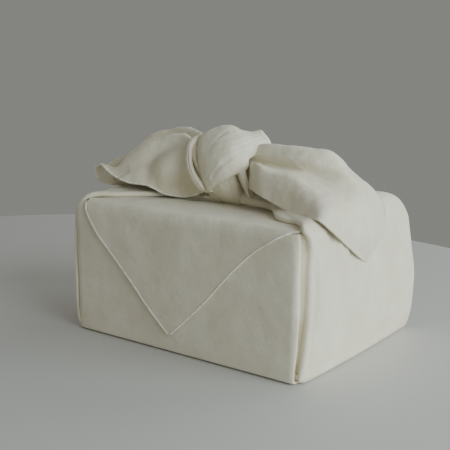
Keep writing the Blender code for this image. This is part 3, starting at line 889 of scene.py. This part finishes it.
def build_flap(material, hem_material):
    """The far corner of the square: over the top, then hanging down the front as a point."""
    left = smooth_rows(FLAP_LEFT_HEM, FLAP_EDGE_STEPS) * MM
    right = smooth_rows(FLAP_RIGHT_HEM, FLAP_EDGE_STEPS) * MM
    length = FLAP_TOP_BACK - FRONT - EDGE_RADIUS + EDGE_ARC + HEIGHT - EDGE_RADIUS - left[-1][1]
    rows, columns = FLAP_GRID
    grid = np.empty((rows, columns, 3))
    limit = WIDTH / 2 - FLAP_SIDE_GAP
    for row in range(rows):
        y, z, level = flap_place(length * row / (rows - 1))
        start = np.interp(-z, -left[:, 1], left[:, 0])
        end = np.interp(-z, -right[:, 1], right[:, 0])
        behind = y - FRONT - EDGE_RADIUS
        sunk = 0.0
        if level == 1.0:
            spread = min(1.0, behind / FLAP_SPREAD)
            start += (-limit - start) * spread
            end += (limit - end) * spread
            sunk = min(1.0, max(0.0, behind - FLAP_SINK_START) / FLAP_SINK_REACH)
        lift = FLAP_PROUD - sunk * (FLAP_PROUD + FLAP_SINK)
        for column in range(columns):
            x = start + (end - start) * column / (columns - 1)
            x = min(max(x, -limit), limit)
            out = FLAP_PROUD + FRONT_PUFF * puff(x, z)
            drop = corner_drop(x) * (1 - min(1.0, max(0.0, behind) / FLAP_CORNER_REACH))
            grid[row, column] = (x, y + drop - out * (1 - level), z + lift * level)
    down = np.linspace(0, length, rows)[:, None].repeat(columns, 1)
    flat = turn_weave(grid[..., 0], down)
    grid = crumple(grid, *FLAP_CRUMPLE, seed=3)
    grid = press_folds(grid, FOLDS["flap"])
    sheet = new_object("wrap_flap", grid, grid_faces(rows, columns), material, CLOTH, flat=flat)
    turn = next(row for row in range(rows) if grid[row, columns // 2, 1] < FRONT + FLAP_HEM_START)
    edge = np.concatenate([grid[turn:, 0], grid[: turn - 1 : -1, -1]])
    near_corner = np.sign(edge[:, 0]) * (np.abs(edge[:, 0]) > FLAP_HEM_CORNER)
    near_top = edge[:, 2] > FLAP_HEM_TOP
    aside, upward = FLAP_HEM_LEAN
    outward = np.stack([aside * near_corner, -np.ones(len(edge)), upward * near_top], -1)
    outward /= np.linalg.norm(outward, axis=1, keepdims=True)
    hem = build_hem("hem_flap", edge, outward, hem_material)
    return sheet, hem


def build_hem(name, path, normal, material):
    """A rolled and stitched hem along an edge: a slightly flat tube that wavers a little."""
    length = np.concatenate([[0], np.cumsum(np.linalg.norm(np.diff(path, axis=0), axis=1))])
    count = int(length[-1] / HEM_STEP)
    wanted = np.linspace(0, length[-1], count)
    path = np.stack([np.interp(wanted, length, path[:, axis]) for axis in range(3)], -1)
    normal = np.stack([np.interp(wanted, length, normal[:, axis]) for axis in range(3)], -1)
    ahead = np.gradient(path, axis=0)
    ahead /= np.linalg.norm(ahead, axis=1, keepdims=True)
    side = np.cross(ahead, normal)
    side /= np.linalg.norm(side, axis=1, keepdims=True)
    out = np.cross(side, ahead)
    points = np.empty((count, HEM_SIDES, 3))
    flat = np.empty((count, HEM_SIDES, 2))
    for index in range(count):
        waver = HEM_WAVER * noise.noise(Vector((wanted[index] * HEM_WAVER_RATE, 1.7, 0.3)))
        swell = 1 + HEM_SWELL * noise.noise(Vector((wanted[index] * HEM_SWELL_RATE, 8.1, 2.2)))
        from_end = min(index, count - 1 - index) / HEM_TAPER_STEPS
        swell *= min(1.0, HEM_END + (1 - HEM_END) * from_end)
        for step in range(HEM_SIDES):
            angle = 2 * math.pi * step / HEM_SIDES
            wide = HEM_HALF_WIDTH * math.cos(angle) * swell
            thick = HEM_HALF_THICKNESS * math.sin(angle) * swell
            points[index, step] = path[index] + side[index] * (wide + waver) + out[index] * thick
            flat[index, step] = (wanted[index], HEM_HALF_WIDTH * angle)
    return new_object(name, points, tube_faces(count, HEM_SIDES), material, flat=flat)


def wall_share(height):
    """1 on the wall, fading to 0 where a sheet comes over the top edge."""
    return np.clip((HEIGHT - height) / WALL_FADE, 0, 1)


def fold_back(grid, outward, wall_fold):
    """Turns a sheet's first and last columns round behind it, as soft folded edges, fuller on the wall."""
    normal = grid_normals(grid) * outward
    height = grid[:, 0, 2]
    on_wall = np.clip((height - WALL_FOLD_START) / WALL_FOLD_RISE, 0, 1) * wall_share(height)
    radius = (FOLD_RADIUS + (wall_fold - FOLD_RADIUS) * on_wall)[:, None]
    folded = [grid]
    for edge, inner, first in ((0, 1, True), (-1, -2, False)):
        away = grid[:, edge] - grid[:, inner]
        away /= np.maximum(np.linalg.norm(away, axis=1, keepdims=True), 1e-9)
        away = blur_rows(away, EDGE_BLUR)
        face = blur_rows(normal[:, edge], EDGE_BLUR)
        columns = []
        for step in range(1, CURL_STEPS + 1):
            angle = math.pi * step / CURL_STEPS
            offset = away * math.sin(angle) - face * (1 - math.cos(angle))
            columns.append(grid[:, edge] + offset * radius)
        for step in range(1, RETURN_STEPS + 1):
            back = away * FOLD_RETURN * step / RETURN_STEPS
            columns.append(grid[:, edge] - face * 2 * radius - back)
        columns = np.stack(columns, axis=1)
        folded = [columns[:, ::-1], *folded] if first else [*folded, columns]
    return np.concatenate(folded, axis=1)


def build_side(name, sections, outward, wall_fold, seed, material):
    """One corner of the square, drawn up its side and gathered into the knot."""
    rows, columns = SIDE_GRID
    grid = even_rows(smooth_sheet(sections, rows, columns))
    share = np.linspace(0, 1, columns)[None, :]
    climb = np.linspace(0, 1, rows)[:, None]
    gathered = np.clip((climb - GATHER_START) / (1 - GATHER_START), 0, 1)
    depth = PLEAT_DEPTH * np.sin(math.pi * gathered) ** PLEAT_POWER * np.sin(math.pi * share)
    bent = share + sum(
        width * np.sin(rate * share + lean * gathered + seed) for width, rate, lean in PLEAT_BENDS
    )
    pleats = depth * np.cos(2 * math.pi * PLEATS * bent)
    fine = np.cos(2 * math.pi * FINE_PLEATS * bent + FINE_PLEAT_LEAN * gathered)
    pleats += FINE_PLEAT_SHARE * depth * fine
    from_edge = np.linalg.norm(grid - grid[:, :1], axis=2)
    near_edge = np.clip(1 - from_edge / EDGE_REACH, 0, 1) ** 2
    pleats -= EDGE_ROUND * wall_share(grid[..., 2]) * near_edge
    grid = grid + grid_normals(grid) * outward * pleats[..., None]
    lift = sum(
        crumple(grid, depth_mm, size_mm, stretch, seed + index) - grid
        for index, (depth_mm, size_mm, stretch) in enumerate(SIDE_CRUMPLES)
    )
    height = np.clip((grid[..., 2] - CRUMPLE_START) / WALL_FADE, 0, 1)
    grid = grid + lift * height[..., None]
    grid = press_folds(grid, FOLDS[name])
    grid[..., 2] = np.maximum(grid[..., 2], LOWEST)
    grid = fold_back(grid, outward, wall_fold)
    grid[..., 2] = np.maximum(grid[..., 2], LOWEST)
    return new_object(name, grid, grid_faces(*grid.shape[:2]), material, CLOTH)


def build_tail(name, sections, hem_edges, seed, material, hem_material):
    """One free end, with its stitched hems."""
    rows, columns = TAIL_GRID
    grid = even_rows(smooth_sheet(sections, rows, columns))
    for index, (depth_mm, size_mm) in enumerate(TAIL_CRUMPLES):
        grid = crumple(grid, depth_mm, size_mm, seed=seed + index)
    grid = press_folds(grid, FOLDS[name])
    sheet = new_object(name, grid, grid_faces(rows, columns), material, CLOTH)
    normal = grid_normals(grid)
    start, stop = hem_edges
    edge = np.concatenate([grid[start:, 0], grid[-1, 1:-1], grid[stop:, -1][::-1]])
    face = np.concatenate([normal[start:, 0], normal[-1, 1:-1], normal[stop:, -1][::-1]])
    return sheet, build_hem("hem_" + name, edge, face, hem_material)


def from_knot(grid):
    """Points in metres from millimetres right, up and out of the knot's middle."""
    right, up, out = view_axes(KNOT_FACING_DEG, 0.0)
    return np.array(KNOT_CENTRE) + grid[..., :1] * right + grid[..., 1:2] * up + grid[..., 2:3] * out


def build_wrap(name, sections, seed, material):
    """One wide wrap of the knot, as a sheet through its sections."""
    rows, columns = WRAP_GRID
    grid = from_knot(even_rows(smooth_sheet(sections, rows, columns)))
    grid = crumple(grid, *WRAP_CRUMPLE, seed=seed)
    grid = press_folds(grid, FOLDS[name])
    return new_object(name, grid, grid_faces(rows, columns), material, WRAP_THICKNESS)


def build_band(name, rows, seed, material):
    """One narrow wrap of the knot: an oval tube along its rows, pleated lengthwise."""
    right, up, out = view_axes(KNOT_FACING_DEG, 0.0)
    count = BAND_STEPS * (len(rows) - 1) + 1
    table = smooth_rows(rows, count)
    path = table[:, :1] * right + table[:, 1:2] * up + table[:, 2:3] * out
    direction = np.gradient(path, axis=0)
    direction /= np.linalg.norm(direction, axis=1)[:, None]
    points = np.empty((count, BAND_SIDES, 3))
    for index in range(count):
        ahead = direction[index]
        outward = path[index] - ahead * np.dot(path[index], ahead)
        outward /= np.linalg.norm(outward)
        sideways = np.cross(ahead, outward)
        half_width, half_thickness = table[index, 3:]
        for side in range(BAND_SIDES):
            angle = 2 * math.pi * side / BAND_SIDES
            round_it = (math.cos(angle) * BAND_PLEAT_RATE, math.sin(angle) * BAND_PLEAT_RATE)
            place = Vector((*round_it, index * BAND_PLEAT_STEP + BAND_SEED_SHIFT * seed))
            swell = 1 + BAND_SWELL * noise.noise(place)
            ring = sideways * half_width * math.cos(angle) + outward * half_thickness * math.sin(angle)
            points[index, side] = np.array(KNOT_CENTRE) + (path[index] + ring * swell) * MM
    faces = [tuple(reversed(face)) for face in tube_faces(count, BAND_SIDES)]
    return new_object(name, points, faces, material)


def build_knot_core(material):
    """The tight middle of the knot, behind the wraps."""
    rows, columns = CORE_GRID
    right, up, out = view_axes(KNOT_FACING_DEG, 0.0)
    points = np.empty((rows, columns, 3))
    for row in range(rows):
        lift = math.pi * ((row + 0.5) / rows - 0.5)
        for column in range(columns):
            turn = 2 * math.pi * column / columns
            offset = right * KNOT_CORE_RADII[0] * math.cos(turn) * math.cos(lift)
            offset = offset - out * KNOT_CORE_RADII[1] * math.sin(turn) * math.cos(lift)
            offset = offset + up * KNOT_CORE_RADII[2] * math.sin(lift) - out * KNOT_CORE_BACK
            round_it = (math.cos(turn) * CORE_CREASE_RATE, math.sin(turn) * CORE_CREASE_RATE)
            crease = noise.noise(Vector((*round_it, lift * CORE_CREASE_STRETCH)))
            points[row, column] = np.array(KNOT_CENTRE) + offset * (1 + CORE_CREASE * crease)
    return new_object("knot_core", points, tube_faces(rows, columns), material)


def build_knot(material):
    """The knot as one object: its core, the two wide wraps and the narrow ones."""
    pieces = [
        build_knot_core(material),
        build_wrap("upper_wrap", UPPER_WRAP, 11, material),
        build_wrap("lower_wrap", LOWER_WRAP, 12, material),
    ]
    for seed, (name, rows) in enumerate(KNOT_BANDS.items()):
        pieces.append(build_band(name, rows, seed + 1, material))
    return join_objects("knot", pieces)


def build_table():
    """The round table that the wrap stands on."""
    material = bpy.data.materials.new("table_paint")
    material.use_nodes = True
    shader = material.node_tree.nodes["Principled BSDF"]
    shader.inputs["Base Color"].default_value = TABLE_COLOUR
    shader.inputs["Roughness"].default_value = 0.55
    bpy.ops.mesh.primitive_cylinder_add(
        vertices=180,
        radius=TABLE_RADIUS,
        depth=TABLE_THICKNESS,
        location=(*TABLE_CENTRE, -TABLE_THICKNESS / 2),
    )
    table = bpy.context.object
    table.name = "table"
    table.data.materials.append(material)
    bevel = table.modifiers.new("edge", "BEVEL")
    bevel.width = TABLE_EDGE
    bevel.segments = 6
    table.data.shade_smooth()


def add_light(name, place, size, power, colour):
    """One soft rectangular light that faces the wrap."""
    data = bpy.data.lights.new(name, "AREA")
    data.shape = "RECTANGLE"
    data.size, data.size_y = size
    data.energy = power
    data.color = colour
    obj = bpy.data.objects.new(name, data)
    obj.location = place
    direction = Vector(LIGHT_AIM) - Vector(place)
    obj.rotation_euler = direction.to_track_quat("-Z", "Y").to_euler()
    bpy.context.scene.collection.objects.link(obj)


def add_lights():
    """The window's light and two weaker ones, with an even wall all round."""
    for name, values in LIGHTS.items():
        add_light(name, *values)
    world = bpy.data.worlds.new("room")
    bpy.context.scene.world = world
    world.use_nodes = True
    background = world.node_tree.nodes["Background"]
    background.inputs["Color"].default_value = WALL_COLOUR
    background.inputs["Strength"].default_value = 1.0


def add_camera():
    """The camera at the photograph's viewing angle."""
    data = bpy.data.cameras.new("camera")
    data.lens = LENS_MM
    data.sensor_width = SENSOR_MM
    camera = bpy.data.objects.new("camera", data)
    camera.location = CAMERA_PLACE
    back = view_axes(CAMERA_AZIMUTH_DEG, CAMERA_ELEVATION_DEG)[2]
    camera.rotation_euler = Vector(back).to_track_quat("Z", "Y").to_euler()
    bpy.context.scene.collection.objects.link(camera)
    bpy.context.scene.camera = camera


def main():
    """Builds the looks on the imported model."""
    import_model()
    add_camera()
    cloth = cloth_material("off_white_cotton", CLOTH_COLOUR, CLOTH_SHADE)
    # The hem cloth is lighter than the cloth, a painted highlight; only the flap's and the left tail's hems
    # use it.
    hem_cloth_painted_highlight = cloth_material("stitched_hem_painted_highlight", HEM_PAINTED_HIGHLIGHT, HEM_PAINTED_HIGHLIGHT_DARKER, stitched=True)

    body = build_body(cloth)
    flap, flap_hem = build_flap(cloth, hem_cloth_painted_highlight)
    right_side = build_side("right_side", RIGHT_SIDE, -1.0, RIGHT_WALL_FOLD, 21, cloth)
    left_side = build_side("left_side", LEFT_SIDE, 1.0, LEFT_WALL_FOLD, 31, cloth)
    knot = build_knot(cloth)
    right_tail, right_hem = build_tail("right_tail", RIGHT_TAIL, RIGHT_HEM_ROWS, 41, cloth, cloth)
    left_tail, left_hem = build_tail("left_tail", LEFT_TAIL, LEFT_HEM_ROWS, 51, cloth, hem_cloth_painted_highlight)
    pieces = [body, flap, flap_hem, right_side, left_side, knot, right_tail, right_hem, left_tail, left_hem]
    for piece in pieces:
        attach(piece, "root")
        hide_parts("wrap_cloth")

    for name, (flat, held, below) in SHEETS.items():
        piece = bpy.data.objects[name]

    build_table()
    add_lights()


main()
